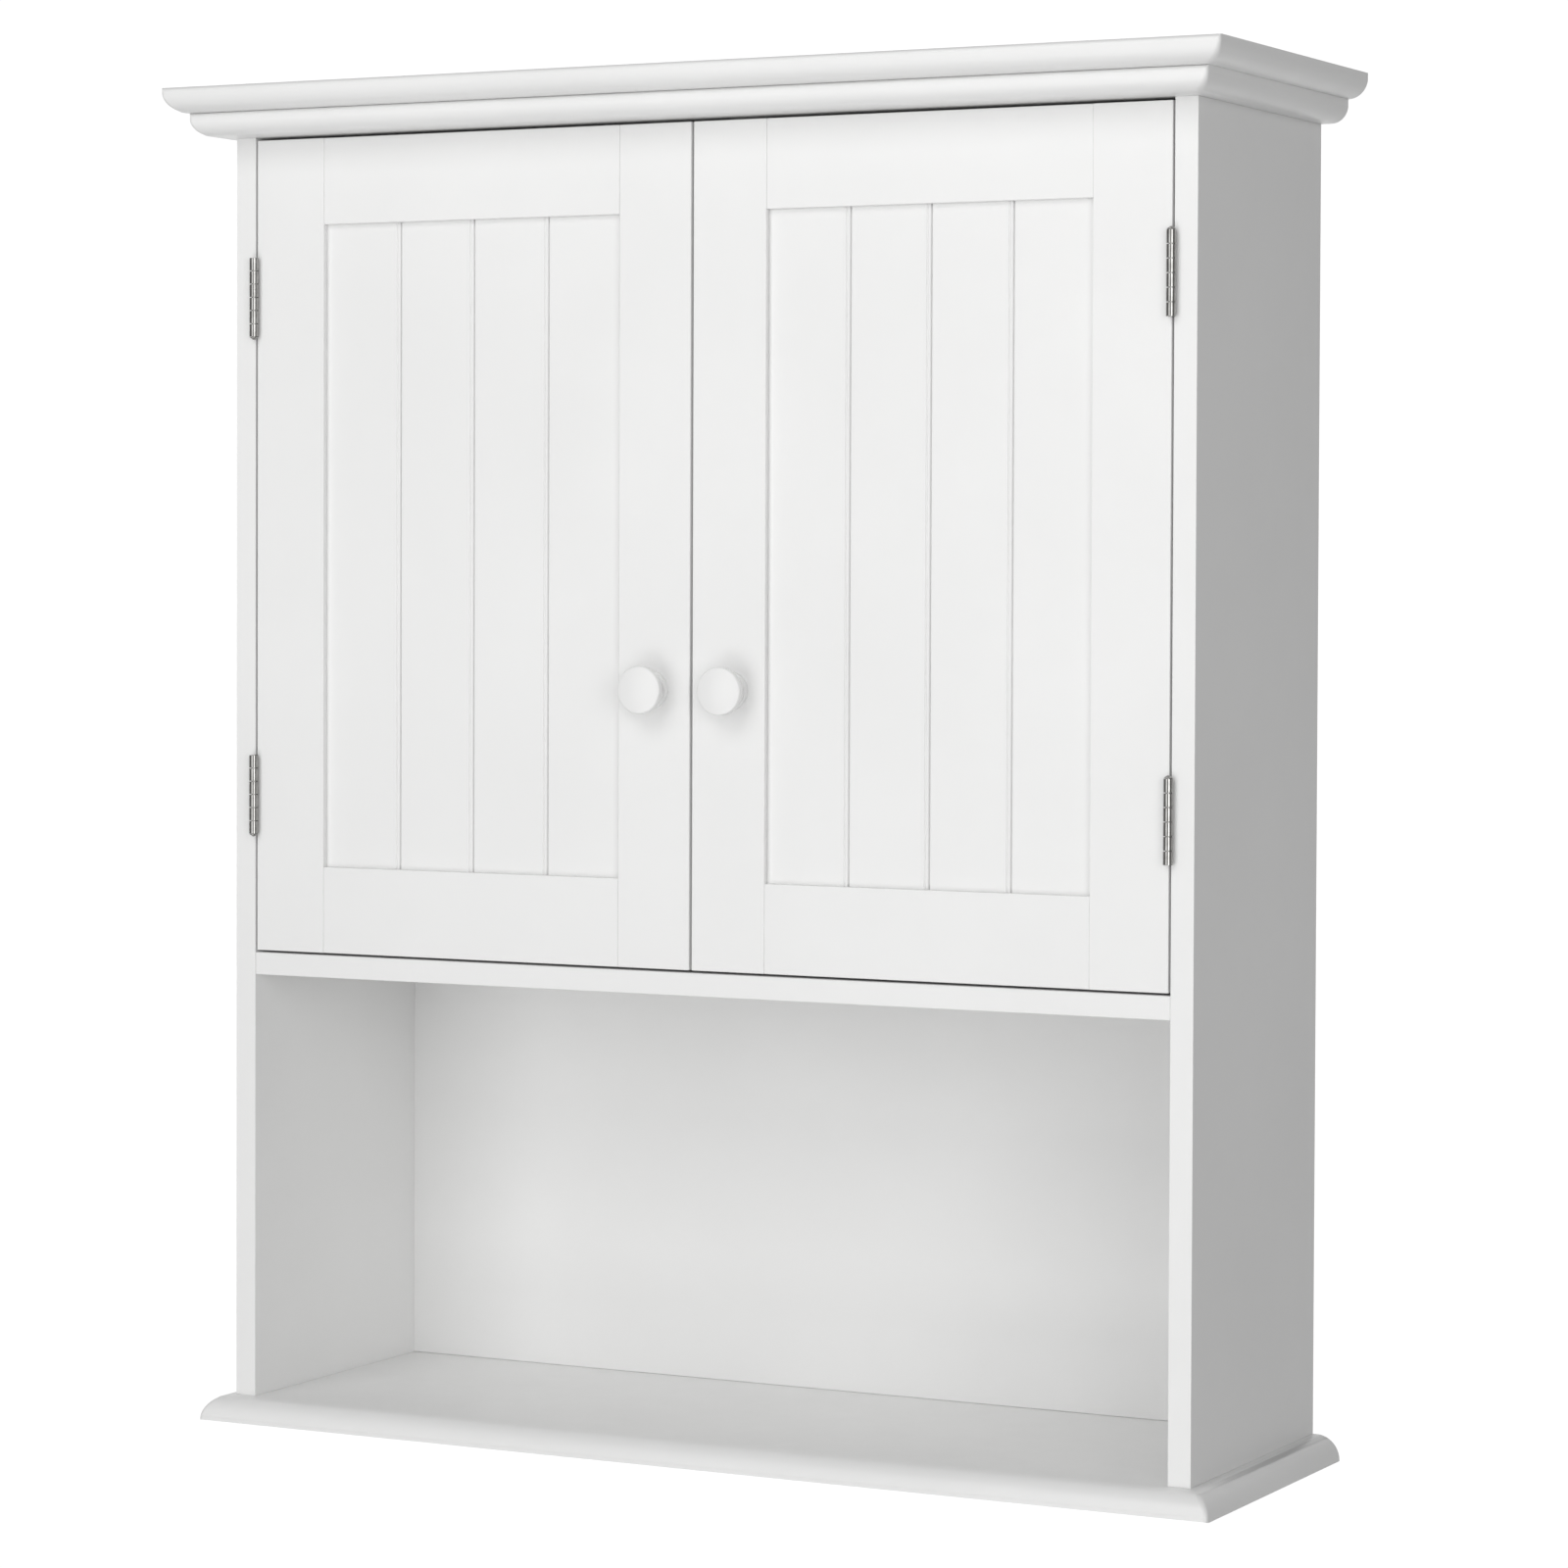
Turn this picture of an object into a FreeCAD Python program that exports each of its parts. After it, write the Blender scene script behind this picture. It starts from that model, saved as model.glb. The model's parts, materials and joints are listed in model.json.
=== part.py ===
import FreeCAD, Part

import math
import os

import Sketcher

# Hanging wall cabinet: two inset doors above an open shelf, under a stepped crown.
# Frame: +Z up, +X to the right seen from the front, front faces -Y, wall plane at y = 0.
# The origin is midway between the two wall screw holes of the hanging rail.
# Every sub-part is drawn with z measured from the top of the base board and then
# lowered by hanging_height, so that the origin falls on the line of the wall screws.

DIMENSIONS = [
    ("body_width", 550, "outside width over the two side panels"),
    ("body_depth", 165, "wall plane to the front edge of the side panels"),
    ("side_height", 670, "height of the side panels"),
    ("board", 12, "thickness of the side panels, shelves and hanging rail"),
    ("hanging_height", 640, "wall screw line above the top of the base board"),
    ("base_thickness", 13, "thickness of the base board"),
    ("base_overhang", 14.5, "base board past the body, sides and front"),
    ("base_round", 12.5, "radius of the rounded upper edge of the base board"),
    ("crown_lower_thickness", 12, "thickness of the lower crown board"),
    ("crown_top_thickness", 13, "thickness of the upper crown board"),
    ("crown_side_overhang", 25, "upper crown board past the side panels"),
    ("crown_front_overhang", 35, "upper crown board past the front of the body"),
    ("crown_step", 10.5, "lower crown board set back under the upper one"),
    ("crown_lower_round", 9, "radius under the lower crown board"),
    ("crown_top_round", 10.5, "radius under the upper crown board"),
    ("back_thickness", 3, "thickness of the back panel"),
    ("back_inset", 0.5, "rear face of the back panel in front of the wall plane"),
    ("rebate_width", 6, "width of the rebate that holds the back panel"),
    ("back_slack", 0.5, "play of the back panel in each rebate"),
    ("rail_height", 60, "height of the hanging rail"),
    ("wall_screw_spacing", 400, "between the two wall screw holes"),
    ("wall_screw_radius", 3, "radius of the wall screw holes"),
    ("shelf_height", 225.5, "underside of the fixed middle shelf"),
    ("door_thickness", 16, "thickness of stiles and rails"),
    ("side_gap", 1.2, "gap between a door and its side panel"),
    ("centre_gap", 1.4, "gap between the two doors"),
    ("lower_gap", 1.2, "gap under the doors"),
    ("upper_gap", 1.6, "gap over the doors"),
    ("stile_width", 41.5, "width of the door stiles"),
    ("door_rail_height", 45.5, "height of the door rails"),
    ("panel_recess", 3.5, "door panel behind the front of its frame"),
    ("panel_thickness", 6, "thickness of the beaded door panel"),
    ("groove_depth", 7, "depth of the panel groove in stiles and rails"),
    ("panel_slack", 1, "play of the panel at the bottom of its groove"),
    ("plank_count", 4, "planks shown on each beaded panel"),
    ("bead_width", 3.6, "width of a bead groove at the face"),
    ("bead_floor", 1.6, "width of a bead groove at its floor"),
    ("bead_depth", 1.8, "depth of a bead groove"),
    ("hinge_inset", 83, "centre of a hinge from the end of its door"),
    ("hinge_length", 42, "length of the hinge barrel and leaves"),
    ("knuckle_count", 6, "knuckles along one barrel"),
    ("knuckle_gap", 0.4, "axial gap between two knuckles"),
    ("barrel_radius", 2.4, "outer radius of the hinge barrel"),
    ("barrel_proud", 2.6, "hinge axis in front of the door faces"),
    ("pin_radius", 1.2, "radius of the hinge pin"),
    ("pin_clearance", 0.05, "radial clearance of the pin in the door knuckles"),
    ("pin_tip", 1.4, "length of the coned tip past one end of the barrel"),
    ("pin_tip_root", 2.2, "radius of the tip where it meets the barrel"),
    ("pin_tip_end", 0.8, "radius of the tip at its very end"),
    ("leaf_thickness", 0.8, "thickness of a hinge leaf"),
    ("leaf_gap", 0.4, "between the two leaves of a closed hinge"),
    ("leaf_depth", 14, "leaf measured from the front of the door"),
    ("leaf_clearance", 2.75, "free edge of a leaf from the hinge axis"),
    ("leaf_screw_rise", 12, "hinge screws above and below the hinge centre"),
    ("leaf_screw_depth", 8.5, "hinge screws behind the front of the door"),
    ("leaf_screw_radius", 1.3, "shank radius of the hinge screws"),
    ("leaf_screw_head", 2.1, "head radius of the hinge screws"),
    ("leaf_screw_length", 9.5, "length of the hinge screws"),
    ("knob_height", 381, "knob axis above the top of the base board"),
    ("knob_radius", 12.2, "radius of the knob head"),
    ("knob_inset", 22.2, "knob axis from the inner edge of its door"),
    ("knob_flange", 10, "radius of the knob's foot"),
    ("knob_length", 15.5, "knob from the door front to the middle of its face"),
    ("knob_foot", 3, "thickness of the knob's foot"),
    ("knob_neck", 7.5, "radius of the knob's neck"),
    ("knob_slope", 1, "slope between the knob's foot and its neck"),
    ("knob_throat", 6.5, "end of the neck in front of the door"),
    ("knob_head_back", 9.8, "widest part of the head, from the door"),
    ("knob_dome", 1.5, "rise of the domed face of the knob"),
    ("knob_rim", 1.6, "rounding of the rim of the knob"),
    ("knob_screw_radius", 2, "shank radius of the knob screw"),
    ("knob_screw_bite", 9, "depth of the knob screw in the knob"),
    ("knob_screw_head", 4, "head radius of the knob screw"),
    ("knob_screw_crown", 2.2, "height of the knob screw's head"),
    ("pin_hole_radius", 2.5, "radius of the shelf pin holes"),
    ("pin_hole_depth", 8, "depth of the shelf pin holes"),
    ("pin_hole_pitch", 32, "spacing of the shelf pin holes"),
    ("pin_hole_count", 7, "shelf pin holes in one row"),
    ("pin_hole_start", 358, "lowest shelf pin hole above the base board"),
    ("pin_row_front", 125, "front row of pin holes from the wall plane"),
    ("pin_row_back", 35, "back row of pin holes from the wall plane"),
    ("pin_reach", 7.5, "shelf pin past the face of the side panel"),
    ("pin_collar", 3.5, "radius of the collar of a shelf pin"),
    ("pin_collar_height", 1.2, "height of the collar of a shelf pin"),
    ("pin_in_use", 3, "pin hole that carries the shelf, counted from 0"),
    ("shelf_side_play", 1.5, "gap at each end of the adjustable shelf"),
    ("shelf_back_play", 1.5, "gap behind the adjustable shelf"),
    ("shelf_front_play", 10, "adjustable shelf behind the doors"),
    ("shelf_rest", 0.05, "adjustable shelf above its pins"),
    ("dowel_radius", 3, "radius of the dowels"),
    ("dowel_short", 9, "shorter depth of a dowel"),
    ("dowel_long", 20, "longer depth of a dowel"),
    ("dowel_front", 110, "front dowels from the wall plane"),
    ("dowel_back", 55, "back dowels from the wall plane"),
    ("screw_front", 140, "front assembly screws from the wall plane"),
    ("screw_back", 25, "back assembly screws from the wall plane"),
    ("screw_radius", 2, "shank radius of the assembly screws"),
    ("screw_head", 3.8, "head radius of the assembly screws"),
    ("screw_length", 45, "length of the assembly screws"),
    ("crown_screw_length", 20, "length of the screws that join the crown boards"),
    ("crown_screw_x", 150, "crown joining screws from the centre"),
    ("cam_radius", 7.5, "radius of the cam lock housings"),
    ("cam_depth", 9.5, "depth of the cam lock housings"),
    ("cam_inset", 24, "cam lock centre from the end of the shelf"),
    ("cam_play", 0.1, "play of a cam lock in its housing"),
    ("cam_slot", 1.5, "width and depth of the cross slot in a cam lock"),
    ("cam_bolt_radius", 3, "radius of the cam bolts"),
    ("nail_radius", 0.8, "radius of the back panel nails"),
    ("nail_head", 2, "head radius of the back panel nails"),
    ("nail_head_height", 0.4, "height of the heads of the nails"),
    ("nail_length", 15, "length of the back panel nails"),
    ("nail_start", 60, "lowest nail above the base board"),
    ("nail_pitch", 108, "spacing of the nails"),
    ("nail_count", 6, "nails down one side of the back panel"),
    ("catch_x", 22, "magnetic catch from the centre"),
    ("catch_width", 26, "width of a catch housing"),
    ("catch_depth", 16, "depth of a catch housing"),
    ("catch_height", 11, "height of a catch housing"),
    ("catch_gap", 0.6, "closed door's strike plate to the magnet"),
    ("catch_screw_length", 18, "length of the catch screws"),
    ("magnet_margin", 2.5, "housing around the magnet"),
    ("magnet_height", 6, "height of the magnet"),
    ("magnet_depth", 5, "depth of the magnet"),
    ("strike_thickness", 1.2, "thickness of a strike plate"),
    ("strike_width", 22, "width of a strike plate"),
    ("strike_height", 14, "height of a strike plate"),
    ("strike_drop", 1, "top of a strike plate below the top of its door"),
    ("slot_width", 0.24, "cross slot of a screw as a share of its head radius"),
    ("slot_depth", 0.36, "depth of the cross slot as a share of the head radius"),
    ("slot_length", 1.1, "length of the cross slot as a share of the head radius"),
    ("screw_point", 2, "length of a screw's point as a share of its shank radius"),
    ("screw_tip", 0.2, "radius of the very tip as a share of the shank radius"),
]

doc = FreeCAD.newDocument("hanging_wall_cabinet")
sheet = doc.addObject("Spreadsheet::Sheet", "dims")
for row, (alias, size, meaning) in enumerate(DIMENSIONS, start=1):
    sheet.set(f"A{row}", meaning)
    sheet.set(f"B{row}", str(size))
    sheet.setAlias(f"B{row}", alias)
doc.recompute()

# Derived sizes as expressions, each worked out from the cells of the sheet.
INNER_X = "(dims.body_width / 2 - dims.board)"
OUTER_X = "(dims.body_width / 2)"
FRONT_Y = "(-dims.body_depth)"
BACK_FACE_Y = "(-dims.back_inset - dims.back_thickness)"
SHELF_TOP = "(dims.shelf_height + dims.board)"
CROWN_STEP_Z = "(dims.side_height + dims.crown_lower_thickness)"
CROWN_TOP_Z = "(dims.side_height + dims.crown_lower_thickness + dims.crown_top_thickness)"
DOOR_OUTER_X = f"({INNER_X} - dims.side_gap)"
DOOR_INNER_X = "(dims.centre_gap / 2)"
DOOR_LOW_Z = f"({SHELF_TOP} + dims.lower_gap)"
DOOR_HIGH_Z = "(dims.side_height - dims.upper_gap)"
DOOR_BACK_Y = f"({FRONT_Y} + dims.door_thickness)"
OPENING_INNER_X = f"({DOOR_INNER_X} + dims.stile_width)"
OPENING_OUTER_X = f"({DOOR_OUTER_X} - dims.stile_width)"
OPENING_LOW_Z = f"({DOOR_LOW_Z} + dims.door_rail_height)"
OPENING_HIGH_Z = f"({DOOR_HIGH_Z} - dims.door_rail_height)"
PANEL_FRONT_Y = f"({FRONT_Y} + dims.panel_recess)"
PANEL_EDGE = "(dims.groove_depth - dims.panel_slack)"
HINGE_X = f"({INNER_X} - dims.side_gap / 2)"
HINGE_Y = f"({FRONT_Y} - dims.barrel_proud)"
HINGE_HIGH_Z = f"({DOOR_HIGH_Z} - dims.hinge_inset)"
HINGE_LOW_Z = f"({DOOR_LOW_Z} + dims.hinge_inset)"
LEAF_NEAR = "(dims.leaf_gap / 2)"
LEAF_FAR = "(dims.leaf_gap / 2 + dims.leaf_thickness)"
KNUCKLE = "(dims.hinge_length / dims.knuckle_count)"
KNOB_X = f"({DOOR_INNER_X} + dims.knob_inset)"
PIN_HOLE_Z = "(dims.pin_hole_start + dims.pin_in_use * dims.pin_hole_pitch)"
SHELF_UNDER_Z = f"({PIN_HOLE_Z} + dims.pin_hole_radius + dims.shelf_rest)"
PANEL_MID_X = f"({OUTER_X} - dims.board / 2)"
SHELF_MID_Z = "(dims.shelf_height + dims.board / 2)"
CAM_X = f"({INNER_X} - dims.cam_inset)"
RAIL_LOW_Z = "(dims.side_height - dims.rail_height)"
RAIL_MID_Y = f"({BACK_FACE_Y} - dims.board / 2)"
NAIL_X = f"({INNER_X} + dims.rebate_width / 2)"
STRIKE_HIGH_Z = f"({DOOR_HIGH_Z} - dims.strike_drop)"
STRIKE_LOW_Z = f"({STRIKE_HIGH_Z} - dims.strike_height)"
STRIKE_MID_Z = f"({STRIKE_HIGH_Z} - dims.strike_height / 2)"
STRIKE_BACK_Y = f"({DOOR_BACK_Y} + dims.strike_thickness)"
CATCH_FRONT_Y = f"({STRIKE_BACK_Y} + dims.catch_gap)"
CATCH_BACK_Y = f"({CATCH_FRONT_Y} + dims.catch_depth)"
CATCH_LOW_Z = "(dims.side_height - dims.catch_height)"
CATCH_NEAR = "(dims.catch_x - dims.catch_width / 2)"
CATCH_FAR = "(dims.catch_x + dims.catch_width / 2)"
MAGNET_LOW_Z = f"({CATCH_LOW_Z} + dims.magnet_margin)"
MAGNET_HIGH_Z = f"({MAGNET_LOW_Z} + dims.magnet_height)"
MAGNET_BACK_Y = f"({CATCH_FRONT_Y} + dims.magnet_depth)"
MAGNET_NEAR = f"({CATCH_NEAR} + dims.magnet_margin)"
MAGNET_FAR = f"({CATCH_FAR} - dims.magnet_margin)"
CATCH_SCREW_Y = f"(({MAGNET_BACK_Y} + {CATCH_BACK_Y}) / 2)"

SIDES = {"left": -1, "right": 1}
ENDS = {"upper": HINGE_HIGH_Z, "lower": HINGE_LOW_Z}
AXIS_X = FreeCAD.Vector(1, 0, 0)
AXIS_Y = FreeCAD.Vector(0, 1, 0)
AXIS_Z = FreeCAD.Vector(0, 0, 1)
TOO_SMALL = 1e-6
SUB_PARTS = []


def number(expression):
    """The value of an expression over the cells of the sheet."""
    return float(sheet.evalExpression(str(expression)))


# Origin planes of a body: the role's name, and which way the plane's normal points along its axis.
PLANES = {"XY": ("XY_Plane", 1), "XZ": ("XZ_Plane", -1), "YZ": ("YZ_Plane", 1)}


def new_body(label):
    """An empty body, lowered so that the origin is on the line of the wall screws."""
    body = doc.addObject("PartDesign::Body", label)
    body.Label = label
    body.setExpression("Placement.Base.z", "-dims.hanging_height")
    SUB_PARTS.append(body)
    return body


def new_sketch(body, plane, start):
    """A sketch parallel to one of the body's origin planes, at coordinate start along its axis."""
    role, normal = PLANES[plane]
    sketch = body.newObject("Sketcher::SketchObject", f"{body.Name}_sketch")
    plane_object = next(f for f in body.Origin.OriginFeatures if f.Role == role)
    sketch.AttachmentSupport = [(plane_object, "")]
    sketch.MapMode = "FlatFace"
    sketch.setExpression("AttachmentOffset.Base.z", f"{normal} * ({start})")
    return sketch


def bind(sketch, kind, *references, to):
    """A driving constraint of the sketch whose value follows an expression."""
    index = sketch.addConstraint(Sketcher.Constraint(kind, *references, number(to)))
    sketch.setExpression(f"Constraints[{index}]", str(to))


def pin_point(sketch, curve, end, u, v):
    """Holds one end of a curve at (u, v) from the sketch's origin."""
    bind(sketch, "DistanceX", -1, 1, curve, end, to=u)
    bind(sketch, "DistanceY", -1, 1, curve, end, to=v)


def flat_point(u, v):
    """A point of a sketch from two expressions."""
    return FreeCAD.Vector(number(u), number(v), 0)


def short_arc(here, there, radius, hollow):
    """The arc under half a turn between two points whose centre is on the side of hollow.

    Arcs run anticlockwise, so the second result says whether this one runs from here to there."""
    chord = there - here
    middle = (here + there) * 0.5
    towards = FreeCAD.Vector(-chord.y, chord.x, 0).normalize()
    if towards.dot(hollow - middle) < 0:
        towards = -towards
    centre = middle + towards * math.sqrt(max(radius**2 - (chord.Length / 2) ** 2, 0))
    angle_here = math.atan2(here.y - centre.y, here.x - centre.x)
    angle_there = math.atan2(there.y - centre.y, there.x - centre.x)
    forward = (angle_there - angle_here) % (2 * math.pi) < math.pi
    start, end = (angle_here, angle_there) if forward else (angle_there, angle_here)
    return Part.ArcOfCircle(Part.Circle(centre, AXIS_Z, radius), start, end), forward


def draw_polygon(sketch, points, arcs=None):
    """A closed outline through points, each a pair of expressions.

    arcs maps the number of an edge to (radius, point on the hollow side) where it is an arc."""
    arcs = arcs or {}
    corners = [flat_point(u, v) for u, v in points]
    first = sketch.GeometryCount
    ends = []
    for i, here in enumerate(corners):
        there = corners[(i + 1) % len(corners)]
        if i not in arcs:
            sketch.addGeometry(Part.LineSegment(here, there), False)
            ends.append((1, 2))
            continue
        radius, hollow = arcs[i]
        arc, forward = short_arc(here, there, number(radius), flat_point(*hollow))
        sketch.addGeometry(arc, False)
        ends.append((1, 2) if forward else (2, 1))
        bind(sketch, "Radius", first + i, to=radius)
    for i, (u, v) in enumerate(points):
        following = (i + 1) % len(points)
        sketch.addConstraint(
            Sketcher.Constraint("Coincident", first + i, ends[i][1], first + following, ends[following][0])
        )
        pin_point(sketch, first + i, ends[i][0], u, v)


def draw_rectangle(sketch, low, high):
    """A rectangle between two opposite corners, each a pair of expressions."""
    (u0, v0), (u1, v1) = low, high
    draw_polygon(sketch, [(u0, v0), (u1, v0), (u1, v1), (u0, v1)])


def draw_circles(sketch, centres, radius):
    """Circles of one radius about centres, each a pair of expressions."""
    for u, v in centres:
        index = sketch.addGeometry(Part.Circle(flat_point(u, v), AXIS_Z, number(radius)), False)
        bind(sketch, "Radius", index, to=radius)
        pin_point(sketch, index, 3, u, v)


def extrude(body, kind, sketch, plane, length):
    """A pad or pocket from the sketch, always towards the positive end of the plane's axis."""
    feature = body.newObject(f"PartDesign::{kind}", f"{body.Name}_{kind.lower()}")
    feature.Profile = sketch
    feature.setExpression("Length", str(length))
    feature.Reversed = (kind == "Pocket") == (PLANES[plane][1] > 0)
    sketch.Visibility = False
    doc.recompute()
    return feature


def pad_box(body, low, high):
    """A box between two corners, each three expressions."""
    sketch = new_sketch(body, "XY", low[2])
    draw_rectangle(sketch, low[:2], high[:2])
    return extrude(body, "Pad", sketch, "XY", f"({high[2]}) - ({low[2]})")


def checked_cut(body, feature, volume_before):
    """A cut has to take material away."""
    if feature.Shape.Volume > volume_before - TOO_SMALL:
        raise ValueError(f"{feature.Name} of {body.Label} cuts nothing")
    return feature


def cut_box(body, low, high):
    """Takes a box out of the body."""
    before = body.Shape.Volume
    sketch = new_sketch(body, "XY", low[2])
    draw_rectangle(sketch, low[:2], high[:2])
    return checked_cut(body, extrude(body, "Pocket", sketch, "XY", f"({high[2]}) - ({low[2]})"), before)


def drill(body, plane, start, length, centres, radius):
    """Round holes from start towards the positive end of the axis normal to the plane."""
    before = body.Shape.Volume
    sketch = new_sketch(body, plane, start)
    draw_circles(sketch, centres, radius)
    return checked_cut(body, extrude(body, "Pocket", sketch, plane, length), before)


def cut_profile(body, plane, points, start, length, arcs=None):
    """Cuts an outline right along one axis."""
    before = body.Shape.Volume
    sketch = new_sketch(body, plane, start)
    draw_polygon(sketch, points, arcs)
    return checked_cut(body, extrude(body, "Pocket", sketch, plane, length), before)


def round_edge(body, plane, corner, inward, radius, start, length):
    """Rounds one long edge: cuts away what lies between the corner and a quarter circle.

    inward holds the directions, +1 or -1, from the corner into the board."""
    (u, v), (du, dv) = corner, inward
    across = f"({u}) + {du} * {radius}"
    along = f"({v}) + {dv} * {radius}"
    outline = [(u, v), (across, v), (u, along)]
    return cut_profile(body, plane, outline, start, length, arcs={1: (radius, (across, along))})


def moulded_board(label, half_width, depth, low_z, high_z, radius, rounded):
    """A board with its front and both ends rounded along the lower or the upper edge."""
    body = new_body(label)
    pad_box(body, (f"-{half_width}", f"-{depth}", low_z), (half_width, "0", high_z))
    edge_z, inward_z = (low_z, 1) if rounded == "lower" else (high_z, -1)
    front, width = (f"-{depth}", edge_z), f"2 * {half_width}"
    round_edge(body, "YZ", front, (1, inward_z), radius, f"-{half_width}", width)
    for side in SIDES.values():
        end = (f"{side} * {half_width}", edge_z)
        round_edge(body, "XZ", end, (-side, inward_z), radius, f"-{depth}", depth)
    return body


def cross_slot(length, width, depth, turned):
    """The two bars of a cross slot, centred on turned's origin and sunk along its Z axis."""
    bars = []
    for turn in (0, 90):
        bar = Part.makeBox(length, width, depth)
        bar.translate(FreeCAD.Vector(-length / 2, -width / 2, 0))
        bar.rotate(FreeCAD.Vector(), AXIS_Z, turn)
        bar.Placement = turned.multiply(bar.Placement)
        bars.append(bar)
    return bars


def wood_screw(place, direction, length, shank, head):
    """A countersunk screw with its head's face at place, driven along direction."""
    point_length = shank * number("dims.screw_point")
    start = place + direction * (head - shank)
    stem = length - (head - shank) - point_length
    tip_radius = shank * number("dims.screw_tip")
    screw = Part.makeCone(head, shank, head - shank, place, direction)
    screw = screw.fuse(Part.makeCylinder(shank, stem, start, direction))
    screw = screw.fuse(Part.makeCone(shank, tip_radius, point_length, start + direction * stem, direction))
    slot = [head * number(f"dims.slot_{word}") for word in ("length", "width", "depth")]
    for bar in cross_slot(*slot, FreeCAD.Placement(place, FreeCAD.Rotation(AXIS_Z, direction))):
        screw = screw.cut(bar)
    return screw.removeSplitter()


def group(label, shapes):
    """Identical loose pieces that share one node, each its own solid."""
    feature = doc.addObject("Part::Feature", label)
    feature.Label = label
    feature.Shape = Part.makeCompound(shapes)
    lowered = FreeCAD.Vector(0, 0, -number("dims.hanging_height"))
    feature.Placement = FreeCAD.Placement(lowered, FreeCAD.Rotation())
    SUB_PARTS.append(feature)
    return feature


def point(x, y, z):
    """A vector from three expressions."""
    return FreeCAD.Vector(number(x), number(y), number(z))


def span(side, near, far):
    """Two distances from the centre as x expressions on one side, the lower one first."""
    low, high = (near, far) if side > 0 else (far, near)
    return f"({side} * {low})", f"({side} * {high})"


def side_box(maker, body, side, near, far, low_yz, high_yz):
    """pad_box or cut_box between two distances from the centre, on one side of the cabinet."""
    x_low, x_high = span(side, near, far)
    return maker(body, (x_low, *low_yz), (x_high, *high_yz))


def drill_sideways(body, side, near, depth, centres, radius):
    """Holes along X that start at a distance from the centre and run outwards by depth."""
    start = f"({near})" if side > 0 else f"(-({near}) - ({depth}))"
    return drill(body, "YZ", start, depth, centres, radius)


def countersink(body, place, direction, head, shank):
    """A conical seat for a countersunk head, its mouth at place."""
    before = body.Shape.Volume
    cone = body.newObject("PartDesign::SubtractiveCone", f"{body.Name}_countersink")
    cone.setExpression("Radius1", head)
    cone.setExpression("Radius2", shank)
    cone.setExpression("Height", f"({head}) - ({shank})")
    cone.Placement = FreeCAD.Placement(FreeCAD.Vector(), FreeCAD.Rotation(AXIS_Z, direction))
    for axis, place_along in zip("xyz", place):
        cone.setExpression(f"Placement.Base.{axis}", str(place_along))
    doc.recompute()
    return checked_cut(body, cone, before)


def repeat_upwards(body, feature, pitch, count):
    """Repeats a feature along Z."""
    axis = next(f for f in body.Origin.OriginFeatures if f.Role == "Z_Axis")
    pattern = body.newObject("PartDesign::LinearPattern", f"{body.Name}_row")
    pattern.Originals = [feature]
    pattern.Direction = (axis, [""])
    pattern.setExpression("Length", f"({pitch}) * ({count} - 1)")
    pattern.setExpression("Occurrences", count)
    body.Tip = pattern
    doc.recompute()
    return pattern


def revolve(body, place, points, arcs=None):
    """A turned piece about an axis along Y through place.

    points are (depth towards the front, radius) pairs of expressions."""
    sketch = new_sketch(body, "YZ", place[0])
    sketch.setExpression("AttachmentOffset.Base.x", place[1])
    sketch.setExpression("AttachmentOffset.Base.y", place[2])
    draw_polygon(sketch, [(f"-({depth})", radius) for depth, radius in points], arcs)
    turned = body.newObject("PartDesign::Revolution", f"{body.Name}_revolution")
    turned.Profile = sketch
    turned.ReferenceAxis = (sketch, ["H_Axis"])
    turned.Angle = 360
    sketch.Visibility = False
    doc.recompute()
    return turned


def catch_screw_places(side):
    """(x, y) of the two screws of one magnetic catch."""
    shifts = [f"{step} * dims.catch_width / 4" for step in (-1, 1)]
    return [(f"{side} * (dims.catch_x + {shift})", CATCH_SCREW_Y) for shift in shifts]


# Where the assembly fasteners pass through the ends of the side panels, as (x, y) pairs.
ASSEMBLY_ROWS_Y = ("-dims.screw_front", "-dims.screw_back")
DOWEL_ROWS_Y = ("-dims.dowel_front", "-dims.dowel_back")
PIN_ROWS_Y = ("-dims.pin_row_front", "-dims.pin_row_back")
END_SCREWS = [(f"{side} * {PANEL_MID_X}", y) for side in SIDES.values() for y in ASSEMBLY_ROWS_Y]
END_DOWELS = [(f"{side} * {PANEL_MID_X}", y) for side in SIDES.values() for y in DOWEL_ROWS_Y]
CROWN_JOINTS = [(f"{side} * dims.crown_screw_x", y) for side in SIDES.values() for y in ASSEMBLY_ROWS_Y]
WALL_SCREWS = [(f"{side} * dims.wall_screw_spacing / 2", "dims.hanging_height") for side in SIDES.values()]
RAIL_DOWEL_HEIGHTS = [f"({RAIL_LOW_Z} + dims.rail_height / 4)", "(dims.side_height - dims.rail_height / 4)"]
CATCH_SCREWS = [place for side in SIDES.values() for place in catch_screw_places(side)]


def nail_heights():
    """The heights of the nails down one side of the back panel."""
    count = int(number("dims.nail_count"))
    return [f"(dims.nail_start + {nail} * dims.nail_pitch)" for nail in range(count)]


def leaf_screw_places(middle):
    """(y, z) of the screws of one hinge leaf."""
    y = f"({FRONT_Y} + dims.leaf_screw_depth)"
    return [(y, f"({middle} + {rise} * dims.leaf_screw_rise)") for rise in (-1, 1)]


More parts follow.
